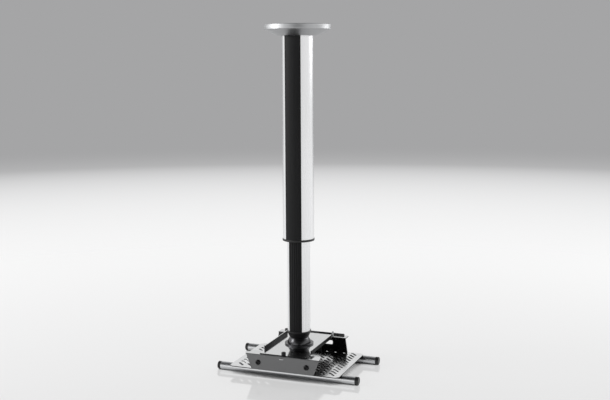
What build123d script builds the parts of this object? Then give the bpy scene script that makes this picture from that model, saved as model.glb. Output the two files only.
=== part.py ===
from build123d import *
import os
from math import acos, cos, radians, sin, sqrt, tan

# A telescopic ceiling mount for a projector, standing on its two rails.
# The column's axis is Z, the rails run along X, and the front of the mount faces -Y.
# All sizes are in millimetres, and z = 0 is the surface under the rails.

# Rails and their end caps
rail_radius = 7.5
rail_wall = 1.5
rail_length = 273.6
rail_spacing = 129.7
cap_band = 5.0
cap_dome = 1.6
cap_plug = 12.0

# Slotted plate with its two front tabs
plate_sheet = 1.5
plate_bottom = 2 * rail_radius
plate_top = plate_bottom + plate_sheet
plate_half_x = 110.4
plate_front = -87.6
plate_rear = 71.2
plate_corner = 6.0
slot_length = 19.0
slot_width = 4.5
slot_pitch_x = 18.0
slot_pitch_y = 12.0
slot_columns = 4
slot_rows = 12
slot_first_x = 38.3
slot_middle_y = -5.0
tab_x = 48.7
tab_width = 26.0
tab_top = 38.5
tab_corner = 3.0

# Front and rear brackets
sheet = 2.0
bracket_top = 45.5
front_web_top_half = 73.7
front_web_foot_half = 62.2
front_web_foot = 15.6
front_flange_depth = 24.0
front_flange_half = 69.5
web_screw_z = 29.9
lug_x = -0.8
lug_z = 40.5
lug_length = 9.0
lug_width = 2.6
lug_height = 1.2
lug_taper = 25
rear_web_y = 69.2
rear_web_top_half = 71.7
rear_web_foot_half = 76.0
rear_window_half = 45.0
rear_window_foot = 30.0
rear_window_top = 38.0
rear_window_corner = 2.0
rear_flange_half = 72.5
rear_lip_y = 86.5
rear_lip_half = 64.5
rear_lip_top = 49.2
rear_lip_corner = 2.5
rear_foot_half = 28.0
rear_foot_front = 54.0
rail_screw_x = 20.0
fold_share = 0.8

# Tray that hangs from the ball joint
tray_sheet = 1.5
tray_bottom = bracket_top
tray_top = tray_bottom + tray_sheet
tray_half_x = 48.0
tray_front = -85.5
tray_corner = 3.0
tray_side_front = -60.5
tray_side_rear = 55.0
tray_side_top = 54.0
tray_tail_y = 58.0
tray_tail_half = 41.0
lock_screw_y = -80.5
pin_x = 43.6
pin_y = 75.0
pin_radius = 2.0
pin_height = 9.4
pin_chamfer = 0.6

# Ball joint
ball_drop = 1.0
ball_z = tray_top - ball_drop
ball_radius = 16.5
liner_outer = 18.95
ball_running_gap = 0.05
housing_outer = 23.2
housing_ring = 28.0
housing_ring_height = 2.5
cup_outer = 22.2
cup_neck = 22.0
cup_flange = 2.5
stem_radius = 7.0
stem_end = 3.0
stem_chamfer = 1.0
liner_mouth = 42.0
liner_drain = 8.0
housing_mouth = 45.0
housing_screw_circle = 25.5
blind_hole_floor = 0.6

# Collar at the foot of the inner column
collar_foot_radius = 18.5
collar_radius = 23.4
collar_shoulder_z = 72.3
collar_top = 74.3
collar_hollow = 24.2
spigot_radius = 15.0
spigot_height = 20.0
washer_radius = 13.5
washer_height = 2.0
stud_nut_size = (21.0, 8.0)
set_screw_angle = -45
set_screw_z = 71.3
set_screw_tip = 7.4
set_screw_end = 21.6

# Inner column
inner_radius = 22.0
inner_bore = 19.5
inner_bore_flat = 15.2
inner_top = 440.0
inner_strip_half = 13.0
inner_strip_floor = 17.0
rib_pitch = 4.3
rib_groove_width = 1.1
rib_groove_depth = 0.7
rib_groove_count = 5
shoe_height = 10.0

# Outer column
outer_radius = 30.0
outer_bore = 27.5
outer_bore_flat = 22.4
outer_foot = 256.5
outer_strip_half = 16.0
outer_strip_floor = 24.0
strip_edge = 0.4
ring_foot = 252.2
ring_radius = 30.8
ring_bore = 22.3
ring_tongue_height = 22.0
ring_tongue_half_y = 16.0
ring_edge = 0.8
locking_screw_heights = (272.0, 300.0)
locking_tip_gap = 0.4
slide_gap = 0.3

# Ceiling fixing
ceiling_z = 660.4
ceiling_plate_radius = 58.0
ceiling_plate_thickness = 4.0
ceiling_bolt_circle = 102.0
ceiling_bolt_radius = 3.5
cable_hole_radius = 13.0
flange_radius = 44.0
flange_thickness = 4.6
flange_screw_circle = 74.0
socket_depth = 50.0
socket_screw_drop = 6.0
cover_radius = 62.4
cover_band = 9.2
cover_foot_z = 639.8
cover_foot_radius = 38.5
cover_wall = 1.5
cover_bore = 30.4

# Screw sizes: shank radius, head radius, head height; nuts: width across flats, height
m3 = (1.5, 2.75, 3.0)
m4 = (2.0, 3.5, 4.0)
m4_grub = 2.0
m5 = (2.5, 4.25, 5.0)
m6_cap = (3.0, 5.0, 6.0)
m6_button = (3.0, 5.25, 3.3)
m5_nut = (8.0, 4.0)
m6_nut = (10.0, 5.0)
head_chamfer_share = 0.1
hex_key_share = 0.95
hex_depth_share = 0.5
button_round_share = 0.7
button_hex_share = 0.75
screw_end_short = 1.0
nut_reach = 6.0
hole_gap = 0.05
clearance_gap = 0.3

flange_bottom = ceiling_z - ceiling_plate_thickness - flange_thickness
outer_top = flange_bottom
rail_y = rail_spacing / 2
front_web_y = plate_front
web_screw_points = [(x, web_screw_z) for x in (-tab_x, tab_x)]

os.makedirs("parts", exist_ok=True)


def cap_screw(seat, size, length):
    """A cap screw whose head stands on the seat plane and whose shank runs against its normal."""
    shank_radius, head_radius, head_height = size
    with BuildPart() as screw:
        with BuildSketch(seat):
            Circle(head_radius)
        extrude(amount=head_height)
        chamfer(screw.faces().sort_by(SortBy.AREA)[-1].edges(), head_height * head_chamfer_share)
        with BuildSketch(seat.offset(head_height)):
            RegularPolygon(shank_radius * hex_key_share, 6)
        extrude(amount=-head_height * hex_depth_share, mode=Mode.SUBTRACT)
        with BuildSketch(seat):
            Circle(shank_radius)
        extrude(amount=-length)
    return screw.part


def hex_nut(seat, hole_radius, size):
    """A hexagon nut standing on the seat plane."""
    across_flats, height = size
    with BuildPart() as nut:
        with BuildSketch(seat):
            RegularPolygon(across_flats / 2, 6, major_radius=False)
            Circle(hole_radius + hole_gap, mode=Mode.SUBTRACT)
        extrude(amount=height)
    return nut.part


# Ceiling plate: a steel disc that is screwed to the ceiling
with BuildPart() as ceiling_plate:
    with BuildSketch(Plane.XY.offset(ceiling_z - ceiling_plate_thickness)):
        Circle(ceiling_plate_radius)
        Circle(cable_hole_radius, mode=Mode.SUBTRACT)
        with PolarLocations(ceiling_bolt_circle / 2, 4):
            Circle(ceiling_bolt_radius, mode=Mode.SUBTRACT)
        with PolarLocations(flange_screw_circle / 2, 4, start_angle=45):
            Circle(m6_cap[0] + hole_gap, mode=Mode.SUBTRACT)
    extrude(amount=ceiling_plate_thickness)
ceiling_plate.part.label = "ceiling_plate"
export_step(ceiling_plate.part, "parts/ceiling_plate.step")

# Column socket: a flange with a plug that fills the top of the outer column
with BuildPart() as column_socket:
    with BuildSketch(Plane.XY.offset(flange_bottom)):
        Circle(flange_radius)
        with PolarLocations(flange_screw_circle / 2, 4, start_angle=45):
            Circle(m6_cap[0] + clearance_gap, mode=Mode.SUBTRACT)
    extrude(amount=flange_thickness)
    with BuildSketch(Plane.XY.offset(flange_bottom)):
        Circle(outer_bore - slide_gap)
        Rectangle(2 * outer_bore, 2 * (outer_bore_flat - slide_gap), mode=Mode.INTERSECT)
    extrude(amount=-socket_depth)
    with BuildSketch(Plane.XY.offset(flange_bottom - socket_depth)):
        Circle(cable_hole_radius)
    extrude(amount=socket_depth + flange_thickness, mode=Mode.SUBTRACT)
    with BuildSketch(Plane.YZ):
        with Locations((0, flange_bottom - socket_screw_drop)):
            Circle(m5[0] + hole_gap)
    extrude(amount=outer_radius, both=True, mode=Mode.SUBTRACT)
column_socket.part.label = "column_socket"
export_step(column_socket.part, "parts/column_socket.step")

# Four screws hold the socket's flange up against the ceiling plate
flange_seat = Plane(origin=(flange_screw_circle / 2, 0, flange_bottom), z_dir=(0, 0, -1))
flange_screw_length = flange_thickness + ceiling_plate_thickness - screw_end_short
flange_screw = cap_screw(flange_seat, m6_cap, flange_screw_length)
with BuildPart() as flange_screws:
    with PolarLocations(0, 4, start_angle=45):
        add(flange_screw)
flange_screws.part.label = "flange_screws"
export_step(flange_screws.part, "parts/flange_screws.step")

# Two cross screws join the outer column to the socket's plug
socket_screw_z = flange_bottom - socket_screw_drop
socket_seat = Plane(origin=(outer_radius, 0, socket_screw_z), z_dir=(1, 0, 0))
socket_screw = cap_screw(socket_seat, m5, outer_radius - cable_hole_radius - screw_end_short)
with BuildPart() as socket_screws:
    with PolarLocations(0, 2):
        add(socket_screw)
socket_screws.part.label = "socket_screws"
export_step(socket_screws.part, "parts/socket_screws.step")

# Ceiling cover: a spun aluminium cup that slides on the column
band_foot = ceiling_z - cover_band
cone_slope = (cover_radius - cover_foot_radius) / (band_foot - cover_foot_z)
with BuildPart() as ceiling_cover:
    with BuildSketch(Plane.XZ):
        with BuildLine():
            Polyline(
                (cover_bore, cover_foot_z),
                (cover_foot_radius, cover_foot_z),
                (cover_radius, band_foot),
                (cover_radius, ceiling_z),
                (cover_radius - cover_wall, ceiling_z),
                (cover_radius - cover_wall, band_foot + cover_wall / cone_slope),
                (cover_foot_radius - cover_wall / cone_slope, cover_foot_z + cover_wall),
                (cover_bore, cover_foot_z + cover_wall),
                close=True,
            )
        make_face()
    revolve(axis=Axis.Z)
    rim_edges = ceiling_cover.edges().filter_by(GeomType.CIRCLE).filter_by(
        lambda edge: abs(edge.radius - cover_radius) < 0.01
    )
    fillet(rim_edges, cover_wall * 0.5)
ceiling_cover.part.label = "ceiling_cover"
export_step(ceiling_cover.part, "parts/ceiling_cover.step")

# Outer column: a round extrusion with a flat-sided bore and a recess front and rear for the strips
with BuildPart() as outer_column:
    with BuildSketch(Plane.XY.offset(outer_foot)):
        Circle(outer_radius)
        with BuildSketch(mode=Mode.PRIVATE) as outer_bore_outline:
            Circle(outer_bore)
            Rectangle(2 * outer_bore, 2 * outer_bore_flat, mode=Mode.INTERSECT)
        add(outer_bore_outline.sketch, mode=Mode.SUBTRACT)
        with Locations((0, outer_radius), (0, -outer_radius)):
            Rectangle(2 * outer_strip_half, 2 * (outer_radius - outer_strip_floor), mode=Mode.SUBTRACT)
    extrude(amount=outer_top - outer_foot)
    with BuildSketch(Plane.YZ):
        with Locations((0, socket_screw_z)):
            Circle(m5[0] + hole_gap)
    extrude(amount=outer_radius, both=True, mode=Mode.SUBTRACT)
    with BuildSketch(Plane.XZ):
        with Locations([(0, z) for z in locking_screw_heights]):
            Circle(m6_cap[0] + hole_gap)
    extrude(amount=-outer_radius, mode=Mode.SUBTRACT)
outer_column.part.label = "outer_column"
export_step(outer_column.part, "parts/outer_column.step")


def strip_outline(radius, half_width, floor):
    """Section of an inlaid strip: flat behind, round in front, with softened front corners."""
    with BuildSketch(mode=Mode.PRIVATE) as outline:
        Circle(radius)
        with Locations((0, -radius)):
            Rectangle(2 * half_width, 2 * (radius - floor), mode=Mode.INTERSECT)
        front_corners = outline.vertices().group_by(Axis.Y)[0]
        chamfer(front_corners, strip_edge)
    return outline.sketch


# Smooth black strips inlaid in the outer column
outer_strip_section = strip_outline(outer_radius, outer_strip_half, outer_strip_floor)
with BuildPart() as outer_front_strip:
    with BuildSketch(Plane.XY.offset(outer_foot)):
        add(outer_strip_section)
    extrude(amount=outer_top - outer_foot)
outer_front_strip.part.label = "outer_front_strip"
export_step(outer_front_strip.part, "parts/outer_front_strip.step")

with BuildPart() as outer_rear_strip:
    with BuildSketch(Plane.XY.offset(outer_foot)):
        add(outer_strip_section.mirror(Plane.XZ))
    extrude(amount=outer_top - outer_foot)
    with BuildSketch(Plane.XZ):
        with Locations([(0, z) for z in locking_screw_heights]):
            Circle(m6_cap[0] + clearance_gap)
    extrude(amount=-outer_radius, mode=Mode.SUBTRACT)
outer_rear_strip.part.label = "outer_rear_strip"
export_step(outer_rear_strip.part, "parts/outer_rear_strip.step")

# Trim ring: closes the outer column's foot, with two tongues that guide the inner column
with BuildPart() as trim_ring:
    with BuildSketch(Plane.XY.offset(ring_foot)):
        Circle(ring_radius)
        Circle(ring_bore, mode=Mode.SUBTRACT)
    extrude(amount=outer_foot - ring_foot)
    outer_ring_edges = trim_ring.edges().filter_by(GeomType.CIRCLE).filter_by(
        lambda edge: abs(edge.radius - ring_radius) < 0.01
    )
    fillet(outer_ring_edges, ring_edge)
    with BuildSketch(Plane.XY.offset(outer_foot)):
        Circle(outer_bore - hole_gap)
        Rectangle(2 * outer_bore, 2 * ring_tongue_half_y, mode=Mode.INTERSECT)
        Circle(ring_bore, mode=Mode.SUBTRACT)
    extrude(amount=ring_tongue_height)
trim_ring.part.label = "trim_ring"
export_step(trim_ring.part, "parts/trim_ring.step")

# Two locking screws at the rear press on the inner column and hold its height
locking_length = outer_radius - inner_radius - locking_tip_gap
with BuildPart() as locking_screws:
    for height in locking_screw_heights:
        locking_seat = Plane(origin=(0, outer_radius, height), z_dir=(0, 1, 0))
        add(cap_screw(locking_seat, m6_cap, locking_length))
locking_screws.part.label = "locking_screws"
export_step(locking_screws.part, "parts/locking_screws.step")

# Inner column: a slimmer extrusion of the same kind
with BuildPart() as inner_column:
    with BuildSketch(Plane.XY.offset(collar_top)):
        Circle(inner_radius)
        with BuildSketch(mode=Mode.PRIVATE) as inner_bore_outline:
            Circle(inner_bore)
            Rectangle(2 * inner_bore, 2 * inner_bore_flat, mode=Mode.INTERSECT)
        add(inner_bore_outline.sketch, mode=Mode.SUBTRACT)
        with Locations((0, inner_radius), (0, -inner_radius)):
            Rectangle(2 * inner_strip_half, 2 * (inner_radius - inner_strip_floor), mode=Mode.SUBTRACT)
    extrude(amount=inner_top - collar_top)
inner_column.part.label = "inner_column"
export_step(inner_column.part, "parts/inner_column.step")

# Ribbed black strips inlaid in the inner column
with BuildPart() as inner_front_strip:
    with BuildSketch(Plane.XY.offset(collar_top)):
        add(strip_outline(inner_radius, inner_strip_half, inner_strip_floor))
        for groove in range(rib_groove_count):
            groove_x = (groove - (rib_groove_count - 1) / 2) * rib_pitch
            groove_floor = sqrt(inner_radius**2 - groove_x**2) - rib_groove_depth
            with Locations((groove_x, -inner_radius)):
                Rectangle(rib_groove_width, 2 * (inner_radius - groove_floor), mode=Mode.SUBTRACT)
    extrude(amount=inner_top - collar_top)
inner_front_strip.part.label = "inner_front_strip"
export_step(inner_front_strip.part, "parts/inner_front_strip.step")

with BuildPart() as inner_rear_strip:
    add(inner_front_strip.part.mirror(Plane.XZ))
inner_rear_strip.part.label = "inner_rear_strip"
export_step(inner_rear_strip.part, "parts/inner_rear_strip.step")

# Glide shoe: a plastic cap on the inner column's top that runs in the outer column's bore
with BuildPart() as glide_shoe:
    with BuildSketch(Plane.XY.offset(inner_top)):
        Circle(outer_bore - slide_gap)
        Rectangle(2 * outer_bore, 2 * (outer_bore_flat - slide_gap), mode=Mode.INTERSECT)
    extrude(amount=shoe_height)
    with BuildSketch(Plane.XY.offset(inner_top)):
        Circle(spigot_radius)
    extrude(amount=-spigot_height)
    with BuildSketch(Plane.XY.offset(inner_top - spigot_height)):
        Circle(cable_hole_radius)
    extrude(amount=spigot_height + shoe_height, mode=Mode.SUBTRACT)
glide_shoe.part.label = "glide_shoe"
export_step(glide_shoe.part, "parts/glide_shoe.step")

# Lower collar: a bell that covers the ball joint's mouth and carries the ball stud
collar_foot_z = ball_z + sqrt(collar_hollow**2 - collar_foot_radius**2)
stud_bore = stem_radius + ball_running_gap
collar_boss_z = ball_z + sqrt(collar_hollow**2 - stud_bore**2)
hollow_angle = radians(30)
hollow_middle = (collar_hollow * sin(hollow_angle), ball_z + collar_hollow * cos(hollow_angle))
set_screw_x = cos(radians(set_screw_angle))
set_screw_y = sin(radians(set_screw_angle))
set_screw_seat = Plane(
    origin=(set_screw_tip * set_screw_x, set_screw_tip * set_screw_y, set_screw_z),
    z_dir=(set_screw_x, set_screw_y, 0),
)
with BuildPart() as lower_collar:
    with BuildSketch(Plane.XZ):
        with BuildLine():
            Polyline(
                (collar_foot_radius, collar_foot_z),
                (collar_radius, collar_shoulder_z),
                (collar_radius, collar_top),
                (spigot_radius, collar_top),
                (spigot_radius, collar_top + spigot_height),
                (stud_bore, collar_top + spigot_height),
                (stud_bore, collar_boss_z),
            )
            ThreePointArc((stud_bore, collar_boss_z), hollow_middle, (collar_foot_radius, collar_foot_z))
        make_face()
    revolve(axis=Axis.Z)
    with BuildSketch(set_screw_seat.offset(stem_radius - set_screw_tip)):
        Circle(m4_grub + hole_gap)
    extrude(amount=collar_radius, mode=Mode.SUBTRACT)
lower_collar.part.label = "lower_collar"
export_step(lower_collar.part, "parts/lower_collar.step")

# Set screw: a headless screw in the collar's side that locks the swivel
set_screw_length = set_screw_end - set_screw_tip
with BuildPart() as collar_set_screw:
    with BuildSketch(set_screw_seat):
        Circle(m4_grub)
    extrude(amount=set_screw_length)
    with BuildSketch(set_screw_seat.offset(set_screw_length)):
        RegularPolygon(m4_grub * hex_depth_share, 6)
    extrude(amount=-m4_grub, mode=Mode.SUBTRACT)
collar_set_screw.part.label = "collar_set_screw"
export_step(collar_set_screw.part, "parts/collar_set_screw.step")

# Ball stud: a steel ball on a stem that turns in the collar
stem_top = collar_top + spigot_height + washer_height + stud_nut_size[1] + stem_end
with BuildPart() as ball_stud:
    with Locations((0, 0, ball_z)):
        Sphere(ball_radius)
    with BuildSketch(Plane.XY.offset(ball_z)):
        Circle(stem_radius)
    extrude(amount=stem_top - ball_z)
    chamfer(ball_stud.faces().sort_by(Axis.Z)[-1].edges(), stem_chamfer)
ball_stud.part.label = "ball_stud"
export_step(ball_stud.part, "parts/ball_stud.step")

# Washer and nut on the stud hold it up in the collar and set how firmly it swivels
washer_z = collar_top + spigot_height + hole_gap
with BuildPart() as stud_washer:
    with BuildSketch(Plane.XY.offset(washer_z)):
        Circle(washer_radius)
        Circle(stem_radius + hole_gap, mode=Mode.SUBTRACT)
    extrude(amount=washer_height)
stud_washer.part.label = "stud_washer"
export_step(stud_washer.part, "parts/stud_washer.step")

with BuildPart() as stud_nut:
    add(hex_nut(Plane.XY.offset(washer_z + washer_height), stem_radius, stud_nut_size))
stud_nut.part.label = "stud_nut"
export_step(stud_nut.part, "parts/stud_nut.step")

# Socket liner: a moulded plastic seat between the ball and its housing
liner_inner = ball_radius + ball_running_gap
with BuildPart() as socket_liner:
    with Locations((0, 0, ball_z)):
        Sphere(liner_outer)
        Sphere(liner_inner, mode=Mode.SUBTRACT)
    with BuildSketch(Plane.XZ):
        with BuildLine():
            Polyline(
                (0, ball_z),
                (liner_outer * tan(radians(liner_mouth)), ball_z + liner_outer),
                (0, ball_z + liner_outer),
                close=True,
            )
        make_face()
    revolve(axis=Axis.Z, mode=Mode.SUBTRACT)
    with Locations((0, 0, ball_z - liner_outer)):
        Cylinder(liner_drain, liner_outer, mode=Mode.SUBTRACT)
socket_liner.part.label = "socket_liner"
export_step(socket_liner.part, "parts/socket_liner.step")

# Upper housing: a turned dome with a flange ring that stands on the tray
housing_inner = liner_outer + ball_running_gap
mouth = radians(housing_mouth)
ring_top = tray_top + housing_ring_height
dome_foot_angle = acos((ring_top - ball_z) / housing_outer)
dome_middle_angle = (mouth + dome_foot_angle) / 2
seat_angle = acos(ball_drop / housing_inner)
seat_radius = housing_inner * sin(seat_angle)
bowl_middle_angle = (mouth + seat_angle) / 2


def on_sphere(radius, angle):
    """Point of a sphere about the ball's centre, in the XZ plane, at an angle from the column's axis."""
    return (radius * sin(angle), ball_z + radius * cos(angle))


dome_foot_radius = housing_outer * sin(dome_foot_angle)
housing_screw_points = PolarLocations(housing_screw_circle, 4, start_angle=45)
with BuildPart() as upper_housing:
    with BuildSketch(Plane.XZ):
        with BuildLine():
            Polyline(
                (dome_foot_radius, ring_top),
                (housing_ring, ring_top),
                (housing_ring, tray_top),
                (seat_radius, tray_top),
            )
            ThreePointArc(
                (seat_radius, tray_top),
                on_sphere(housing_inner, bowl_middle_angle),
                on_sphere(housing_inner, mouth),
            )
            Line(on_sphere(housing_inner, mouth), on_sphere(housing_outer, mouth))
            ThreePointArc(
                on_sphere(housing_outer, mouth),
                on_sphere(housing_outer, dome_middle_angle),
                (dome_foot_radius, ring_top),
            )
        make_face()
    revolve(axis=Axis.Z)
    with BuildSketch(Plane.XY.offset(tray_top)):
        with housing_screw_points:
            Circle(m3[0] + hole_gap)
    extrude(amount=housing_ring_height - blind_hole_floor, mode=Mode.SUBTRACT)
upper_housing.part.label = "upper_housing"
export_step(upper_housing.part, "parts/upper_housing.step")

# Lower housing: a cup that goes through the tray and is drawn up against it from below
cup_flange_bottom = tray_bottom - cup_flange
cup_meet_radius = sqrt(cup_outer**2 - (ball_z - cup_flange_bottom) ** 2)
with BuildPart() as lower_housing:
    with BuildSketch(Plane.XZ):
        with BuildLine():
            Polyline(
                (seat_radius, tray_top),
                (cup_neck, tray_top),
                (cup_neck, tray_bottom),
                (housing_ring, tray_bottom),
                (housing_ring, cup_flange_bottom),
                (cup_meet_radius, cup_flange_bottom),
            )
            ThreePointArc(
                (cup_meet_radius, cup_flange_bottom),
                on_sphere(cup_outer, radians(135)),
                (0, ball_z - cup_outer),
            )
            Line((0, ball_z - cup_outer), (0, ball_z - housing_inner))
            ThreePointArc(
                (0, ball_z - housing_inner),
                on_sphere(housing_inner, radians(135)),
                (seat_radius, tray_top),
            )
        make_face()
    revolve(axis=Axis.Z)
    with BuildSketch(Plane.XY.offset(cup_flange_bottom)):
        with housing_screw_points:
            Circle(m3[0] + clearance_gap)
    extrude(amount=cup_flange, mode=Mode.SUBTRACT)
lower_housing.part.label = "lower_housing"
export_step(lower_housing.part, "parts/lower_housing.step")

# Four screws clamp the two housings on the tray
housing_seat = Plane(origin=(housing_screw_circle, 0, cup_flange_bottom), z_dir=(0, 0, -1))
housing_screw_length = cup_flange + tray_sheet + housing_ring_height - screw_end_short
housing_screw = cap_screw(housing_seat, m3, housing_screw_length)
with BuildPart() as housing_screws:
    with PolarLocations(0, 4, start_angle=45):
        add(housing_screw)
housing_screws.part.label = "housing_screws"
export_step(housing_screws.part, "parts/housing_screws.step")

# Tray: a folded sheet that carries the ball joint and lies on the brackets' flanges, with a narrower tail
tray_rear = rear_lip_y - sheet
with BuildPart() as tray:
    with BuildSketch(Plane.XY.offset(tray_bottom)) as tray_floor:
        with Locations((0, (tray_front + tray_tail_y) / 2)):
            Rectangle(2 * tray_half_x, tray_tail_y - tray_front)
        with Locations((0, (tray_tail_y + tray_rear) / 2)):
            Rectangle(2 * tray_tail_half, tray_rear - tray_tail_y)
        corner_rows = tray_floor.vertices().group_by(Axis.Y)
        chamfer(corner_rows[0] + corner_rows[-1], tray_corner)
        Circle(cup_neck + clearance_gap, mode=Mode.SUBTRACT)
        with housing_screw_points:
            Circle(m3[0] + clearance_gap, mode=Mode.SUBTRACT)
        with Locations((0, lock_screw_y)):
            Circle(m5[0] + clearance_gap, mode=Mode.SUBTRACT)
    extrude(amount=tray_sheet)
    side_x = tray_half_x - tray_sheet / 2
    side_y = (tray_side_front + tray_side_rear) / 2
    with BuildSketch(Plane.XY.offset(tray_bottom)):
        with Locations((-side_x, side_y), (side_x, side_y)):
            Rectangle(tray_sheet, tray_side_rear - tray_side_front)
    extrude(amount=tray_side_top - tray_bottom)
    fold_edges = tray.edges().filter_by(Axis.Y).group_by(Axis.Z)[0].sort_by(Axis.X)
    fillet([fold_edges[0], fold_edges[-1]], tray_sheet * fold_share)
tray.part.label = "tray"
export_step(tray.part, "parts/tray.step")

# Lock screw and nut: fasten the tray's front edge to the front bracket's flange
with BuildPart() as tray_lock_screw:
    add(cap_screw(Plane(origin=(0, lock_screw_y, tray_top)), m5, tray_sheet + sheet + nut_reach))
tray_lock_screw.part.label = "tray_lock_screw"
export_step(tray_lock_screw.part, "parts/tray_lock_screw.step")

with BuildPart() as tray_lock_nut:
    lock_nut_seat = Plane(origin=(0, lock_screw_y, bracket_top - sheet), z_dir=(0, 0, -1))
    add(hex_nut(lock_nut_seat, m5[0], m5_nut))
tray_lock_nut.part.label = "tray_lock_nut"
export_step(tray_lock_nut.part, "parts/tray_lock_nut.step")

# Front bracket: a web that flares upwards, with a top flange folded back under the tray
front_face_y = front_web_y - sheet
with BuildPart() as front_bracket:
    with BuildSketch(Plane.XZ.offset(-front_web_y)):
        with BuildLine():
            Polyline(
                (-front_web_foot_half, front_web_foot),
                (front_web_foot_half, front_web_foot),
                (front_web_top_half, bracket_top),
                (-front_web_top_half, bracket_top),
                close=True,
            )
        make_face()
        with Locations(web_screw_points):
            Circle(m6_button[0] + clearance_gap, mode=Mode.SUBTRACT)
    extrude(amount=sheet)
    with BuildSketch(Plane.XY.offset(bracket_top - sheet)):
        with BuildLine():
            Polyline(
                (-front_web_top_half, front_face_y),
                (front_web_top_half, front_face_y),
                (front_flange_half, front_face_y + front_flange_depth),
                (-front_flange_half, front_face_y + front_flange_depth),
                close=True,
            )
        make_face()
        with Locations((0, lock_screw_y)):
            Circle(m5[0] + clearance_gap, mode=Mode.SUBTRACT)
    extrude(amount=sheet)
    fold = front_bracket.edges().filter_by(Axis.X).group_by(Axis.Y)[0].sort_by(Axis.Z)[-1]
    fillet(fold, sheet * fold_share)
    with BuildSketch(Plane.XZ.offset(-front_face_y)):
        with Locations((lug_x, lug_z)):
            SlotOverall(lug_length, lug_width)
    extrude(amount=lug_height, taper=lug_taper)
front_bracket.part.label = "front_bracket"
export_step(front_bracket.part, "parts/front_bracket.step")

# Button-head screws fasten the front bracket to the plate's tabs, with nuts behind
with BuildPart() as bracket_screws:
    for x, z in web_screw_points:
        screw_seat = Plane(origin=(x, front_face_y, z), z_dir=(0, -1, 0))
        with BuildSketch(screw_seat):
            Circle(m6_button[1])
        extrude(amount=m6_button[2])
        rims = bracket_screws.faces().filter_by(Axis.Y).group_by(Axis.Y)[0].edges()
        fillet(rims.filter_by(lambda edge: abs(edge.center().X - x) < 1), m6_button[2] * button_round_share)
        with BuildSketch(screw_seat.offset(m6_button[2])):
            RegularPolygon(m6_button[0] * button_hex_share, 6)
        extrude(amount=-m6_button[2] * hex_depth_share, mode=Mode.SUBTRACT)
        with BuildSketch(screw_seat):
            Circle(m6_button[0])
        extrude(amount=-(sheet + plate_sheet + nut_reach))
bracket_screws.part.label = "bracket_screws"
export_step(bracket_screws.part, "parts/bracket_screws.step")

with BuildPart() as bracket_nuts:
    for x, z in web_screw_points:
        nut_seat = Plane(origin=(x, front_web_y + plate_sheet, z), z_dir=(0, 1, 0))
        add(hex_nut(nut_seat, m6_button[0], m6_nut))
bracket_nuts.part.label = "bracket_nuts"
export_step(bracket_nuts.part, "parts/bracket_nuts.step")

# Rear bracket: a windowed web on a foot, with a top flange folded to the rear and a stop lip
with BuildPart() as rear_bracket:
    with BuildSketch(Plane.XZ.offset(-rear_web_y)):
        with BuildLine():
            Polyline(
                (-rear_web_foot_half, plate_top),
                (rear_web_foot_half, plate_top),
                (rear_web_top_half, bracket_top),
                (-rear_web_top_half, bracket_top),
                close=True,
            )
        make_face()
        with Locations((0, (rear_window_foot + rear_window_top) / 2)):
            RectangleRounded(
                2 * rear_window_half,
                rear_window_top - rear_window_foot,
                rear_window_corner,
                mode=Mode.SUBTRACT,
            )
    extrude(amount=-sheet)
    with BuildSketch(Plane.XY.offset(bracket_top - sheet)):
        with Locations((0, (rear_web_y + rear_lip_y) / 2)):
            Rectangle(2 * rear_flange_half, rear_lip_y - rear_web_y)
        with Locations((-pin_x, pin_y), (pin_x, pin_y)):
            Circle(pin_radius + hole_gap, mode=Mode.SUBTRACT)
    extrude(amount=sheet)
    with BuildSketch(Plane.XZ.offset(-rear_lip_y)):
        lip_foot = bracket_top - sheet
        with Locations((0, (lip_foot + rear_lip_top) / 2)):
            Rectangle(2 * rear_lip_half, rear_lip_top - lip_foot)
    extrude(amount=sheet)
    lip_corners = rear_bracket.edges().filter_by(Axis.Y).group_by(Axis.Z)[-1]
    fillet(lip_corners, rear_lip_corner)
    with BuildSketch(Plane.XY.offset(plate_top)):
        with Locations((0, (rear_foot_front + rear_web_y) / 2)):
            Rectangle(2 * rear_foot_half, rear_web_y - rear_foot_front)
        with Locations((-rail_screw_x, rail_y), (rail_screw_x, rail_y)):
            Circle(m4[0] + clearance_gap, mode=Mode.SUBTRACT)
    extrude(amount=sheet)
rear_bracket.part.label = "rear_bracket"
export_step(rear_bracket.part, "parts/rear_bracket.step")

# Locating pins: pressed into the rear flange, they hold the tray's tail between them
with BuildPart() as locating_pins:
    with BuildSketch(Plane.XY.offset(bracket_top - sheet)):
        with Locations((-pin_x, pin_y), (pin_x, pin_y)):
            Circle(pin_radius)
    extrude(amount=sheet + pin_height)
    chamfer(locating_pins.faces().group_by(Axis.Z)[-1].edges(), pin_chamfer)
locating_pins.part.label = "locating_pins"
export_step(locating_pins.part, "parts/locating_pins.step")

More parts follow.
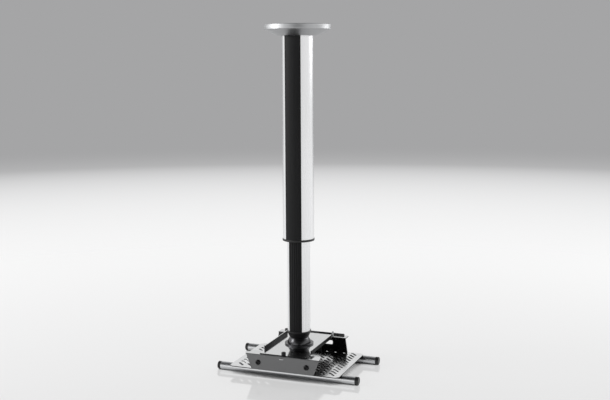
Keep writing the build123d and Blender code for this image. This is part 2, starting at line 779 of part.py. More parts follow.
# Slotted plate: a sheet with slanted slots on both wings and two tabs folded up at the front
wing_middle = slot_first_x + slot_pitch_x * (slot_columns - 1) / 2
with BuildPart() as slotted_plate:
    with BuildSketch(Plane.XY.offset(plate_bottom)):
        with Locations((0, (plate_front + plate_rear) / 2)):
            Rectangle(2 * plate_half_x, plate_rear - plate_front)
        chamfer(vertices(), plate_corner)
        with Locations((-wing_middle, slot_middle_y), (wing_middle, slot_middle_y)):
            with GridLocations(slot_pitch_x, slot_pitch_y, slot_columns, slot_rows):
                SlotOverall(slot_length, slot_width, rotation=-45, mode=Mode.SUBTRACT)
        with GridLocations(2 * rail_screw_x, rail_spacing, 2, 2):
            Circle(m4[0] + clearance_gap, mode=Mode.SUBTRACT)
    extrude(amount=plate_sheet)
    with BuildSketch(Plane.XZ.offset(-front_web_y)):
        tab_middle = (plate_bottom + tab_top) / 2
        with Locations((-tab_x, tab_middle), (tab_x, tab_middle)):
            RectangleRounded(tab_width, tab_top - plate_bottom, tab_corner)
        with Locations((-tab_x, plate_bottom + tab_corner), (tab_x, plate_bottom + tab_corner)):
            Rectangle(tab_width, 2 * tab_corner)
        with Locations(web_screw_points):
            Circle(m6_button[0] + clearance_gap, mode=Mode.SUBTRACT)
    extrude(amount=-plate_sheet)
slotted_plate.part.label = "slotted_plate"
export_step(slotted_plate.part, "parts/slotted_plate.step")

# Rails: two round tubes under the plate
for side, y in (("front", -rail_y), ("rear", rail_y)):
    with BuildPart() as rail:
        with BuildSketch(Plane.YZ.offset(-rail_length / 2)):
            with Locations((y, rail_radius)):
                Circle(rail_radius)
                Circle(rail_radius - rail_wall, mode=Mode.SUBTRACT)
        extrude(amount=rail_length)
        with BuildSketch(Plane.XY.offset(rail_radius)):
            with Locations((-rail_screw_x, y), (rail_screw_x, y)):
                Circle(m4[0] + hole_gap)
        extrude(amount=rail_radius, mode=Mode.SUBTRACT)
    rail.part.label = f"{side}_rail"
    export_step(rail.part, f"parts/{side}_rail.step")

# End caps: moulded plugs with a short band and a shallow dome
cap_end = rail_length / 2 + cap_band + cap_dome
cap_plug_radius = rail_radius - rail_wall - hole_gap
with BuildPart() as end_cap:
    with BuildSketch(Plane.XZ):
        with BuildLine():
            Polyline(
                (rail_length / 2 - cap_plug, 0),
                (rail_length / 2 - cap_plug, cap_plug_radius),
                (rail_length / 2, cap_plug_radius),
                (rail_length / 2, rail_radius),
                (rail_length / 2 + cap_band, rail_radius),
            )
            JernArc((rail_length / 2 + cap_band, rail_radius), (1, 0), cap_dome, -90)
            Line((cap_end, rail_radius - cap_dome), (cap_end, 0))
            Line((cap_end, 0), (rail_length / 2 - cap_plug, 0))
        make_face()
    revolve(axis=Axis.X)
right_caps = {"front_right": -rail_y, "rear_right": rail_y}
for corner, y in right_caps.items():
    with BuildPart() as right_cap:
        with Locations((0, y, rail_radius)):
            add(end_cap.part)
    right_cap.part.label = f"{corner}_cap"
    export_step(right_cap.part, f"parts/{corner}_cap.step")
    with BuildPart() as left_cap:
        add(right_cap.part.mirror(Plane.YZ))
    left_name = corner.replace("right", "left")
    left_cap.part.label = f"{left_name}_cap"
    export_step(left_cap.part, f"parts/{left_name}_cap.step")

# Rail screws: draw the rails up against the plate, the rear pair through the bracket's foot
with BuildPart() as rail_screws:
    for y, seat_z in ((-rail_y, plate_top), (rail_y, plate_top + sheet)):
        for x in (-rail_screw_x, rail_screw_x):
            seat = Plane(origin=(x, y, seat_z))
            add(cap_screw(seat, m4, seat_z - rail_radius))
rail_screws.part.label = "rail_screws"
export_step(rail_screws.part, "parts/rail_screws.step")
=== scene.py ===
"""A telescopic ceiling mount for a projector, standing on its rails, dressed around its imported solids."""
import math

import bmesh
import bpy
from mathutils import Matrix, Vector


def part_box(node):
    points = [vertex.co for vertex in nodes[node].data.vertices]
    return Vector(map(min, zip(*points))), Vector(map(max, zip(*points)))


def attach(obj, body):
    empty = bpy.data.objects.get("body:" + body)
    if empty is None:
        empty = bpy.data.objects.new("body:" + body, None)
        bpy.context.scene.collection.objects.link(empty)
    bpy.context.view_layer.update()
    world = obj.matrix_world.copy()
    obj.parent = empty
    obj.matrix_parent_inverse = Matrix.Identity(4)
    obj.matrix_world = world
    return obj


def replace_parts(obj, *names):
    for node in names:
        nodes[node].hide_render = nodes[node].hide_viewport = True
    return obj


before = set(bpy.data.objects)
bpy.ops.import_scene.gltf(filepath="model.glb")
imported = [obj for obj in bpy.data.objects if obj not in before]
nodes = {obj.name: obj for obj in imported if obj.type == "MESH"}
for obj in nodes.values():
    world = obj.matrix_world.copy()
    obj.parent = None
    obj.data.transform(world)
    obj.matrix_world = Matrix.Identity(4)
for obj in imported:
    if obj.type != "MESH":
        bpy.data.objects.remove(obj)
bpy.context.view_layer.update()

scene = bpy.context.scene
scene.view_settings.view_transform = "Standard"
MM = 0.001

# Ceiling plate: a laser-cut steel disc that is screwed to the ceiling, under the cover.
# It is plated with bright zinc after cutting, so its edges are as bright as its faces.


def linear(hex_colour):
    """Turns an sRGB hex colour into the linear values that the shaders take."""
    channels = [int(hex_colour[i : i + 2], 16) / 255 for i in (1, 3, 5)]
    return (*[c / 12.92 if c <= 0.04045 else ((c + 0.055) / 1.055) ** 2.4 for c in channels], 1.0)


def add_node(tree, kind, sockets={}, **settings):
    """Adds a node with its settings, and sets or links its inputs; a list puts several links on one."""
    node = tree.nodes.new(kind)
    for name, value in settings.items():
        setattr(node, name, value)
    for key, value in sockets.items():
        for item in value if isinstance(value, list) else [value]:
            if isinstance(item, bpy.types.Node):
                item = item.outputs[0]
            if isinstance(item, bpy.types.NodeSocket):
                tree.links.new(item, node.inputs[key])
            else:
                node.inputs[key].default_value = item
    return node


def new_finish(name, dark, light, roughness, grain, relief=0.0, turned=False, **constants):
    """A finish whose colour and roughness follow noise, with its grain along X, Y and Z and its relief in mm.

    On a turned piece the grain runs round the Z axis, as on a circle of 1 m,
    and Z is the distance between marks.
    """
    material = bpy.data.materials.new(name)
    material.use_nodes = True
    tree = material.node_tree
    tree.nodes.clear()
    place = add_node(tree, "ShaderNodeTexCoord").outputs["Object"]
    if turned:
        flat = add_node(tree, "ShaderNodeVectorMath", {0: place, 1: (1, 1, 0)}, operation="MULTIPLY")
        away = add_node(tree, "ShaderNodeVectorMath", {0: flat}, operation="NORMALIZE")
        radius = add_node(tree, "ShaderNodeVectorMath", {0: flat}, operation="LENGTH").outputs["Value"]
        height = add_node(tree, "ShaderNodeSeparateXYZ", {0: place}).outputs["Z"]
        along = add_node(tree, "ShaderNodeMath", {0: radius, 1: height}, operation="ADD")
        ring = add_node(tree, "ShaderNodeCombineXYZ", {"Z": along})
        place = add_node(tree, "ShaderNodeVectorMath", {0: away, 1: ring}, operation="ADD")
    scale = tuple(1 / (size * MM) for size in grain)
    scaled = add_node(tree, "ShaderNodeMapping", {"Vector": place, "Scale": scale})
    noise = add_node(tree, "ShaderNodeTexNoise", {"Vector": scaled, "Scale": 1.0, "Detail": 3.0})
    spread = add_node(tree, "ShaderNodeMapRange", {"Value": noise, "From Min": 0.3, "From Max": 0.7})
    colour = add_node(tree, "ShaderNodeMix", {0: spread, 6: linear(dark), 7: linear(light)}, data_type="RGBA")
    gloss = add_node(tree, "ShaderNodeMix", {0: spread, 2: roughness[0], 3: roughness[1]})
    sockets = {key.replace("_", " "): value for key, value in constants.items()}
    sockets.update({"Base Color": colour.outputs[2], "Roughness": gloss})
    if relief:
        sockets["Normal"] = add_node(tree, "ShaderNodeBump", {"Height": noise, "Distance": relief * MM})
    shader = add_node(tree, "ShaderNodeBsdfPrincipled", sockets)
    add_node(tree, "ShaderNodeOutputMaterial", {"Surface": shader})
    return material


# Bright zinc plate: cool silver, faintly clouded where the bath left crystals of uneven size.
zinc_plate = new_finish("zinc_plated_steel", "#AEB1B5", "#CACBC9", (0.3, 0.42), (7, 7, 7), Metallic=1.0)


def plain_mesh(source, name):
    """Turns an object with its modifiers into a new object with a plain mesh, and removes the first."""
    evaluated = source.evaluated_get(bpy.context.evaluated_depsgraph_get())
    piece = bpy.data.objects.new(name, bpy.data.meshes.new_from_object(evaluated))
    bpy.data.objects.remove(source)
    scene.collection.objects.link(piece)
    return piece


weld_distance = 0.002 * MM
flat_angle = math.radians(1)
sharp_angle = math.radians(35)


def broken_edges(node, radius, name, material):
    """A merged copy of a CAD node whose sharp edges are rounded, as they are after deburring."""
    shell = bmesh.new()
    shell.from_mesh(nodes[node].data)
    bmesh.ops.remove_doubles(shell, verts=shell.verts, dist=weld_distance)
    bmesh.ops.dissolve_limit(shell, angle_limit=flat_angle, verts=shell.verts, edges=shell.edges)
    mesh = bpy.data.meshes.new(name)
    shell.to_mesh(mesh)
    shell.free()
    if "custom_normal" in mesh.attributes:
        mesh.attributes.remove(mesh.attributes["custom_normal"])
    mesh.shade_smooth()
    mesh.materials.clear()
    mesh.materials.append(material)
    source = bpy.data.objects.new(name + "_start", mesh)
    scene.collection.objects.link(source)
    bevel = source.modifiers.new("edges", "BEVEL")
    bevel.width = radius * MM
    bevel.segments = 2
    bevel.limit_method = "ANGLE"
    bevel.angle_limit = sharp_angle
    source.modifiers.new("normals", "WEIGHTED_NORMAL")
    return plain_mesh(source, name)


disc = broken_edges("ceiling_plate", 0.4, "ceiling_disc", zinc_plate)
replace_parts(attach(disc, "ceiling_side"), "ceiling_plate")

# Column socket: a turned steel flange with a plug that fills the top of the outer column.
# It is plated like the disc and carries the whole weight of the mount.
socket = broken_edges("column_socket", 0.4, "socket_flange", zinc_plate)
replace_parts(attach(socket, "ceiling_side"), "column_socket")

# Flange and socket screws: black steel cap screws with a hexagon socket, cold headed, with a knurled rim
# and a rolled thread. Four hold the flange up against the disc, and two go through the column into the plug.

# Black oxide: a thin dark layer on steel, oiled, so it keeps a dull metal sheen.
black_oxide = new_finish("black_oxide_steel", "#141415", "#232325", (0.32, 0.46), (2, 2, 2), Metallic=0.55)


def new_tree(name, sizes):
    """A Geometry Nodes tree with a named input for each size, and the sockets that give them."""
    kinds = {float: "NodeSocketFloat", int: "NodeSocketInt", tuple: "NodeSocketVector"}
    tree = bpy.data.node_groups.new(name, "GeometryNodeTree")
    tree.interface.new_socket("Geometry", in_out="INPUT", socket_type="NodeSocketGeometry")
    for size, value in sizes.items():
        tree.interface.new_socket(size, in_out="INPUT", socket_type=kinds[type(value)])
    tree.interface.new_socket("Material", in_out="INPUT", socket_type="NodeSocketMaterial")
    tree.interface.new_socket("Geometry", in_out="OUTPUT", socket_type="NodeSocketGeometry")
    return tree, add_node(tree, "NodeGroupInput").outputs


def end_tree(tree, geometry, given):
    """Realizes instances, sets the material and ends a tree."""
    real = add_node(tree, "GeometryNodeRealizeInstances", {"Geometry": geometry})
    dressed = add_node(tree, "GeometryNodeSetMaterial", {"Geometry": real, "Material": given["Material"]})
    add_node(tree, "NodeGroupOutput", {"Geometry": dressed})


def grow(name, tree, start_mesh, material, sizes):
    """Runs a tree on a start mesh and returns the result as a plain mesh at the origin."""
    start = bpy.data.objects.new(name + "_start", start_mesh)
    scene.collection.objects.link(start)
    modifier = start.modifiers.new(tree.name, "NODES")
    modifier.node_group = tree
    values = dict(sizes, Material=material)
    for item in tree.interface.items_tree:
        if item.in_out == "INPUT" and item.name in values:
            modifier[item.identifier] = values[item.name]
    piece = plain_mesh(start, name)
    # Set Material leaves an empty slot before its own.
    piece.data.materials.clear()
    piece.data.materials.append(material)
    return piece


# A head rises in three steps: share of its height, and width against the step below.
cap_steps = ((0.86, 1.0), (0.07, 0.98), (0.07, 0.95))
dome_steps = ((0.3, 0.985), (0.4, 0.86), (0.3, 0.72))
rings_per_turn = 6


def screw_sizes(shank, head, height, pitch, length, steps=cap_steps, knurl=0.12, key_share=0.95):
    """Inputs of the screw tree from a screw's radii, heights and pitch in millimetres."""
    sizes = {
        "Head Radius": head * MM,
        "Valley Radius": (head - knurl) * MM,
        "Key Flat": shank * key_share * math.cos(math.pi / 6) * MM,
        "Key Sink": -0.5 * height * MM,
        "Shank Radius": shank * MM,
        "Shank Length": length * MM,
        "Shank Middle": (0.0, 0.0, -0.5 * length * MM),
        "Threaded Half": (0.5 * length - 0.2) * MM,
        "Thread Rings": int(length / pitch * rings_per_turn),
        "Thread Pitch": pitch * MM,
    }
    for number, (rise, width) in enumerate(steps, 1):
        sizes[f"Rise {number}"] = rise * height * MM
        sizes[f"Width {number}"] = width
    return sizes


m3_cap = (1.5, 2.75, 3.0, 0.5)
m4_cap = (2.0, 3.5, 4.0, 0.7)
m5_cap = (2.5, 4.25, 5.0, 0.8)
m6_cap = (3.0, 5.0, 6.0, 1.0)
screw_tree, given = new_tree("cap_screw", screw_sizes(*m6_cap, length=8.0))
rim_points = 72
shank_points = 24


def at_radius(tree, radius, height):
    """The point at a distance from the Z axis and at a height, on the side where the point already is."""
    place = add_node(tree, "GeometryNodeInputPosition")
    flat = add_node(tree, "ShaderNodeVectorMath", {0: place, 1: (1, 1, 0)}, operation="MULTIPLY")
    away = add_node(tree, "ShaderNodeVectorMath", {0: flat}, operation="NORMALIZE")
    out = add_node(tree, "ShaderNodeVectorMath", {0: away, "Scale": radius}, operation="SCALE")
    up = add_node(tree, "ShaderNodeCombineXYZ", {"Z": height})
    return add_node(tree, "ShaderNodeVectorMath", {0: out, 1: up}, operation="ADD")


position = add_node(screw_tree, "GeometryNodeInputPosition")
place = add_node(screw_tree, "ShaderNodeSeparateXYZ", {0: position}).outputs
angle = add_node(screw_tree, "ShaderNodeMath", {0: place["Y"], 1: place["X"]}, operation="ARCTAN2")

# Every second point of the rim lies in a valley of the knurl.
rim = add_node(
    screw_tree, "GeometryNodeCurvePrimitiveCircle", {"Resolution": rim_points, "Radius": given["Head Radius"]}
)
index = add_node(screw_tree, "GeometryNodeInputIndex")
valley = add_node(screw_tree, "ShaderNodeMath", {0: index, 1: 2.0}, operation="MODULO")
rim_radius = add_node(
    screw_tree, "ShaderNodeMix", {0: valley, 2: given["Head Radius"], 3: given["Valley Radius"]}
)
knurled = add_node(
    screw_tree,
    "GeometryNodeSetPosition",
    {"Geometry": rim, "Position": at_radius(screw_tree, rim_radius, 0.0)},
)
head = add_node(screw_tree, "GeometryNodeFillCurve", {0: knurled}, mode="NGONS")
top = True
for number in range(1, len(cap_steps) + 1):
    step = add_node(
        screw_tree,
        "GeometryNodeExtrudeMesh",
        {"Mesh": head, "Selection": top, "Offset Scale": given[f"Rise {number}"], "Individual": False},
    )
    top = step.outputs["Top"]
    head = add_node(
        screw_tree,
        "GeometryNodeScaleElements",
        {"Geometry": step, "Selection": top, "Scale": given[f"Width {number}"]},
    )

# The hexagon socket for the key is drawn in from the top and pressed down.
inset = add_node(
    screw_tree,
    "GeometryNodeExtrudeMesh",
    {"Mesh": head, "Selection": top, "Offset Scale": 0.0, "Individual": False},
)
half_flat = math.pi / 6
from_flat = add_node(screw_tree, "ShaderNodeMath", {0: angle, 1: half_flat, 2: -half_flat}, operation="WRAP")
off_middle = add_node(screw_tree, "ShaderNodeMath", {0: from_flat}, operation="COSINE")
key_radius = add_node(screw_tree, "ShaderNodeMath", {0: given["Key Flat"], 1: off_middle}, operation="DIVIDE")
key_rim = add_node(
    screw_tree,
    "GeometryNodeSetPosition",
    {
        "Geometry": inset,
        "Selection": inset.outputs["Top"],
        "Position": at_radius(screw_tree, key_radius, place["Z"]),
    },
)
sunk = add_node(
    screw_tree,
    "GeometryNodeExtrudeMesh",
    {
        "Mesh": key_rim,
        "Selection": inset.outputs["Top"],
        "Offset Scale": given["Key Sink"],
        "Individual": False,
    },
)

# The underside is a ring, and the shank's thread winds inwards from its full radius, short of both ends.
shank_rim = add_node(
    screw_tree,
    "GeometryNodeCurvePrimitiveCircle",
    {"Resolution": shank_points, "Radius": given["Shank Radius"]},
)
under_rims = add_node(screw_tree, "GeometryNodeJoinGeometry", {0: [knurled, shank_rim]})
under = add_node(screw_tree, "GeometryNodeFillCurve", {0: under_rims}, mode="NGONS")
under = add_node(screw_tree, "GeometryNodeFlipFaces", {0: under})
shank = add_node(
    screw_tree,
    "GeometryNodeMeshCylinder",
    {
        "Vertices": shank_points,
        "Side Segments": given["Thread Rings"],
        "Radius": given["Shank Radius"],
        "Depth": given["Shank Length"],
    },
)
open_shank = add_node(
    screw_tree,
    "GeometryNodeDeleteGeometry",
    {"Geometry": shank, "Selection": shank.outputs["Top"]},
    domain="FACE",
)
from_middle = add_node(screw_tree, "ShaderNodeMath", {0: place["Z"]}, operation="ABSOLUTE")
threaded = add_node(
    screw_tree, "ShaderNodeMath", {0: from_middle, 1: given["Threaded Half"]}, operation="LESS_THAN"
)
turns = add_node(screw_tree, "ShaderNodeMath", {0: place["Z"], 1: given["Thread Pitch"]}, operation="DIVIDE")
wound = add_node(
    screw_tree, "ShaderNodeMath", {0: angle, 1: 1 / math.tau, 2: turns}, operation="MULTIPLY_ADD"
)
flank = add_node(screw_tree, "ShaderNodeMath", {0: wound, 1: 0.5}, operation="PINGPONG")
depth = add_node(screw_tree, "ShaderNodeMath", {0: flank, 1: given["Thread Pitch"]}, operation="MULTIPLY")
core = add_node(screw_tree, "ShaderNodeMath", {0: given["Shank Radius"], 1: depth}, operation="SUBTRACT")
thread = add_node(
    screw_tree,
    "GeometryNodeSetPosition",
    {
        "Geometry": open_shank,
        "Selection": threaded,
        "Position": at_radius(screw_tree, core, place["Z"]),
    },
)
thread = add_node(
    screw_tree, "GeometryNodeTransform", {"Geometry": thread, "Translation": given["Shank Middle"]}
)
screw = add_node(screw_tree, "GeometryNodeJoinGeometry", {0: [sunk, under, thread]})
seam_distance = 0.001 * MM
screw = add_node(screw_tree, "GeometryNodeMergeByDistance", {"Geometry": screw, "Distance": seam_distance})
facing = add_node(
    screw_tree, "GeometryNodeInputNamedAttribute", {"Name": "facing"}, data_type="FLOAT_VECTOR"
)
turned = add_node(screw_tree, "FunctionNodeAlignRotationToVector", {"Vector": facing}, axis="Z")
placed = add_node(
    screw_tree,
    "GeometryNodeInstanceOnPoints",
    {"Points": given["Geometry"], "Instance": screw, "Rotation": turned},
)
end_tree(screw_tree, placed, given)


def solid_boxes(node):
    """Lowest and highest corner of each separate solid in a CAD node."""
    shell = bmesh.new()
    shell.from_mesh(nodes[node].data)
    bmesh.ops.remove_doubles(shell, verts=shell.verts, dist=weld_distance)
    left = set(shell.verts)
    boxes = []
    while left:
        to_visit = [left.pop()]
        solid = []
        while to_visit:
            vertex = to_visit.pop()
            solid.append(vertex.co.copy())
            near = [edge.other_vert(vertex) for edge in vertex.link_edges]
            to_visit += [other for other in near if other in left]
            left.difference_update(near)
        low = Vector([min(point[i] for point in solid) for i in range(3)])
        high = Vector([max(point[i] for point in solid) for i in range(3)])
        boxes.append((low, high))
    shell.free()
    return sorted(boxes, key=lambda box: tuple(box[0]))


def cap_screws(name, node, facings, size, body, **form):
    """Screws in place of a CAD node's, one for each of its solids, with their heads towards the facings."""
    head_height = size[2] * MM
    seats = []
    for (low, high), facing in zip(solid_boxes(node), facings):
        out = Vector(facing)
        reach = max(abs(side) for side in (high - low) * out) / 2
        seats.append((low + high) / 2 + out * (reach - head_height))
    spots = bpy.data.meshes.new(name)
    spots.from_pydata(seats, [], [])
    attribute = spots.attributes.new("facing", "FLOAT_VECTOR", "POINT")
    for item, facing in zip(attribute.data, facings):
        item.vector = facing
    sizes = screw_sizes(*size, length=(2 * reach - head_height) / MM, **form)
    screws = grow(name, screw_tree, spots, black_oxide, sizes)
    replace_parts(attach(screws, body), node)


cap_screws("flange_cap_screws", "flange_screws", [(0, 0, -1)] * 4, m6_cap, "ceiling_side")
cap_screws("socket_cap_screws", "socket_screws", [(-1, 0, 0), (1, 0, 0)], m5_cap, "ceiling_side")

# Outer column: a round aluminium extrusion with a recess front and rear.
# It is clear anodised after cutting, and hangs from the socket's plug.


def wear_finish(material, *names):
    """Gives CAD nodes whose shape is right their finish."""
    for name in names:
        nodes[name].material_slots[0].material = material


# Clear anodised aluminium: bright silver with a soft gloss and faint lines that the die drew along it.
anodised = new_finish(
    "anodised_aluminium", "#E4E5E6", "#EFEFF0", (0.24, 0.32), (0.8, 0.8, 160), relief=0.004, Metallic=1.0
)
wear_finish(anodised, "outer_column")

# Outer strips: smooth black profiles of rigid vinyl, extruded and cut to the column's length.
# They snap into the column's recesses front and rear, and hide its grooves.

# Black rigid vinyl: deep black with a satin skin and slow waves from the calibrator.
black_vinyl = new_finish("black_rigid_vinyl", "#1E1E1F", "#252526", (0.5, 0.58), (2.5, 2.5, 120), IOR=1.28)
wear_finish(black_vinyl, "outer_front_strip", "outer_rear_strip")

# Trim ring: a black ring of moulded nylon, pressed into the outer column's foot.
# It hides the cut edge and guides the inner column.

# Black glass-filled nylon: near black, satin, with the fine pitted grain of a spark-eroded mould.
black_nylon = new_finish(
    "black_moulded_nylon", "#121213", "#1A1A1B", (0.36, 0.48), (0.7, 0.7, 0.7), relief=0.02, IOR=1.53
)
wear_finish(black_nylon, "trim_ring")

# Locking screws: two black cap screws of steel, in threads cut through the outer column's rear.
# Their ends press on the inner column and hold its height.
cap_screws("locking_cap_screws", "locking_screws", [(0, 1, 0)] * 2, m6_cap, "ceiling_side")

# Ceiling cover: a cup of thin aluminium spun over a form, and brushed on the lathe, so its lines run
# round it. It slides up the column and hides the ceiling disc.

# Brushed spun aluminium: grey silver that spreads highlights into broad bands across the lines.
# Real brush lines are about 0.1 mm apart and too fine to show here, so they are drawn at 0.9 mm.
spun_aluminium = new_finish(
    "spun_brushed_aluminium",
    "#ADAEB0",
    "#C0C1C2",
    (0.32, 0.44),
    (1000, 1000, 0.9),
    relief=0.008,
    turned=True,
    Metallic=1.0,
    Anisotropic=0.6,
)
wear_finish(spun_aluminium, "ceiling_cover")

# Inner column: a slimmer aluminium extrusion of the same kind, anodised like the outer one.
# It slides in the outer column and sets the drop.
wear_finish(anodised, "inner_column")

# Inner strips: profiles of the same black vinyl with five grooves along them, extruded.
# They snap into the inner column, and the grooves keep scratches of the slide from showing.


def closed_sheet(tree, section, thickness):
    """Raises a flat section along its normal by a thickness and closes it below."""
    raised = add_node(
        tree, "GeometryNodeExtrudeMesh", {"Mesh": section, "Offset Scale": thickness, "Individual": False}
    )
    below = add_node(tree, "GeometryNodeFlipFaces", {0: section})
    both = add_node(tree, "GeometryNodeJoinGeometry", {0: [raised, below]})
    return add_node(tree, "GeometryNodeMergeByDistance", {"Geometry": both, "Distance": seam_distance})


strip_low, strip_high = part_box("inner_front_strip")
rib_pitch = 4.3 * MM
groove_half = 0.55 * MM
groove_count = 5
soft_corner = 0.4 * MM
strip_sizes = {
    "Width": 2 * strip_high.x,
    "Radius Squared": strip_low.y**2,
    "Floor": -strip_high.y,
    "Half Pitch": rib_pitch / 2,
    "Groove Edge": 1.4 * groove_half,
    "Groove Floor Edge": 0.6 * groove_half,
    "Groove Depth": 0.7 * MM,
    "Grooved Half": rib_pitch * groove_count / 2,
    "Corner Start": strip_high.x - soft_corner,
    "Foot": strip_low.z,
    "Length": strip_high.z - strip_low.z,
    "Turn": (0.0, 0.0, 0.0),
}
strip_tree, given = new_tree("ribbed_strip", strip_sizes)
section_points = 185
section = add_node(
    strip_tree,
    "GeometryNodeMeshGrid",
    {"Size X": given["Width"], "Size Y": 1.0, "Vertices X": section_points, "Vertices Y": 2},
)
position = add_node(strip_tree, "GeometryNodeInputPosition")
place = add_node(strip_tree, "ShaderNodeSeparateXYZ", {0: position}).outputs
across = place["X"]
square = add_node(strip_tree, "ShaderNodeMath", {0: across, 1: across}, operation="MULTIPLY")
left_over = add_node(
    strip_tree, "ShaderNodeMath", {0: given["Radius Squared"], 1: square}, operation="SUBTRACT"
)
crest = add_node(strip_tree, "ShaderNodeMath", {0: left_over}, operation="SQRT")
from_groove = add_node(
    strip_tree, "ShaderNodeMath", {0: across, 1: given["Half Pitch"]}, operation="PINGPONG"
)
groove = add_node(
    strip_tree,
    "ShaderNodeMapRange",
    {
        "Value": from_groove,
        "From Min": given["Groove Edge"],
        "From Max": given["Groove Floor Edge"],
        "To Min": 0.0,
        "To Max": given["Groove Depth"],
    },
    interpolation_type="SMOOTHSTEP",
)
off_middle = add_node(strip_tree, "ShaderNodeMath", {0: across}, operation="ABSOLUTE")
grooved = add_node(
    strip_tree, "ShaderNodeMath", {0: off_middle, 1: given["Grooved Half"]}, operation="LESS_THAN"
)
past = add_node(strip_tree, "ShaderNodeMath", {0: off_middle, 1: given["Corner Start"]}, operation="SUBTRACT")
corner = add_node(strip_tree, "ShaderNodeMath", {0: past, 1: 0.0}, operation="MAXIMUM")
cut = add_node(strip_tree, "ShaderNodeMath", {0: groove, 1: grooved, 2: corner}, operation="MULTIPLY_ADD")
face = add_node(strip_tree, "ShaderNodeMath", {0: crest, 1: cut}, operation="SUBTRACT")
behind = add_node(strip_tree, "ShaderNodeMath", {0: place["Y"], 1: 0.0}, operation="GREATER_THAN")
depth = add_node(strip_tree, "ShaderNodeMix", {0: behind, 2: face, 3: given["Floor"]})
forward = add_node(strip_tree, "ShaderNodeMath", {0: depth, 1: -1.0}, operation="MULTIPLY")
point = add_node(strip_tree, "ShaderNodeCombineXYZ", {"X": across, "Y": forward, "Z": given["Foot"]})
shaped = add_node(strip_tree, "GeometryNodeSetPosition", {"Geometry": section, "Position": point})
strip_solid = closed_sheet(strip_tree, shaped, given["Length"])
strip_turned = add_node(
    strip_tree, "GeometryNodeTransform", {"Geometry": strip_solid, "Rotation": given["Turn"]}
)
end_tree(strip_tree, strip_turned, given)
for node, turn in (("inner_front_strip", 0.0), ("inner_rear_strip", math.pi)):
    blank = bpy.data.meshes.new(node)
    sizes = dict(strip_sizes, Turn=(0.0, 0.0, turn))
    strip = grow(node.replace("strip", "ribs"), strip_tree, blank, black_vinyl, sizes)
    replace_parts(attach(strip, "inner_side"), node)

# Glide shoe: a white head of moulded acetal on the inner column's top.
# It runs in the outer column's bore, so that metal never slides on metal.

# Acetal: waxy off-white with a soft gloss, and some light goes into it.
acetal = new_finish(
    "white_acetal",
    "#E3E1DA",
    "#EDEBE5",
    (0.36, 0.46),
    (5, 5, 12),
    IOR=1.48,
    Subsurface_Weight=0.15,
    Subsurface_Scale=1.5 * MM,
)
wear_finish(acetal, "glide_shoe")

# Lower collar: a moulded black bell at the inner column's foot, which covers the ball joint's mouth.
# A headless black screw in its side locks the swivel.
wear_finish(black_nylon, "lower_collar")
wear_finish(black_oxide, "collar_set_screw")

# Ball stud: a steel ball on a stem, turned in one piece and zinc plated.
# A washer and a nut hold it up in the collar.
wear_finish(zinc_plate, "ball_stud", "stud_washer", "stud_nut")

# Socket liner: a white seat of moulded acetal between the ball and its housing.
# It is held only by the two halves of the housing round it.
wear_finish(acetal, "socket_liner")

# Upper and lower housing: a turned steel dome on the tray and a cup below it, plated with black nickel.
# Four small cap screws clamp the two to the tray and round the liner.

# Black nickel: smoky dark metal over a fine turned surface, glossy enough to mirror what stands near.
# Real tool marks are 0.1 mm apart and too fine to show, so they are drawn at 0.5 mm.
black_nickel = new_finish(
    "black_nickel_plate",
    "#525254",
    "#5E5E60",
    (0.25, 0.31),
    (1000, 1000, 0.5),
    turned=True,
    Metallic=1.0,
)
wear_finish(black_nickel, "upper_housing", "lower_housing")
cap_screws("housing_cap_screws", "housing_screws", [(0, 0, -1)] * 4, m3_cap, "carrier")

# Tray: a steel sheet folded up at both sides, which hangs from the ball joint and lies on the brackets.
# Its top is bright sheet, and every face that doesn't face up is painted black as painted shade on its walls
# and under it.

# Polished zinc sheet: bright, with faint rolling lines along it, and a mirror at low angles.
# The same sheet is the painted highlight on the brackets' tops and on the front bracket's lug.
bright_sheet_and_highlight = new_finish(
    "bright_zinc_sheet_and_highlight", "#C2C3C4", "#CDCECE", (0.08, 0.13), (0.9, 60, 0.9), Metallic=1.0
)

# Painted shade: matt black with a fine orange-peel bump, for the faces of the tray and plate that don't face
# up.
painted_shade_black = new_finish(
    "painted_shade_black_coat", "#0C0C0D", "#131314", (0.4, 0.5), (1.3, 1.3, 1.3), relief=0.02, IOR=1.25
)


def paint_shade_and_highlight(piece, finish, chosen):
    """Gives the chosen faces of a piece a second material: painted shade on some pieces, a painted highlight
    on others.
    """
    piece.data.materials.append(finish)
    for face in piece.data.polygons:
        face.material_index = 1 if chosen(face) else 0


sheet_edge = 0.35
off_top = 0.5
tray = broken_edges("tray", sheet_edge, "tray_sheet", bright_sheet_and_highlight)
# Every face that doesn't face up gets the black, as painted shade.
paint_shade_and_highlight(tray, painted_shade_black, lambda face: face.normal.z < off_top)
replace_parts(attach(tray, "carrier"), "tray")
cap_screws("tray_lock_cap_screw", "tray_lock_screw", [(0, 0, 1)], m5_cap, "carrier")
wear_finish(zinc_plate, "tray_lock_nut")

# Front bracket: a folded steel web that flares upwards, with a stamped lug, coated grey, with its top and lug
# given the bright sheet as painted highlight. Two black button-head screws and plated nuts hold it to the
# plate's two tabs.

# Grey powder coat with a clear coat over it: mid grey, with the same orange peel under a soft gloss.
grey_coat = new_finish(
    "grey_powder_coat",
    "#3E3F41",
    "#494A4C",
    (0.4, 0.5),
    (1.3, 1.3, 1.3),
    relief=0.02,
    IOR=1.5,
    Coat_Weight=1.0,
    Coat_Roughness=0.12,
    Coat_IOR=2.0,
)
flat_top = 0.9
lug_depth = 1.15 * MM
lug_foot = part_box("front_bracket")[0].y + lug_depth
front = broken_edges("front_bracket", sheet_edge, "front_bracket_sheet", grey_coat)
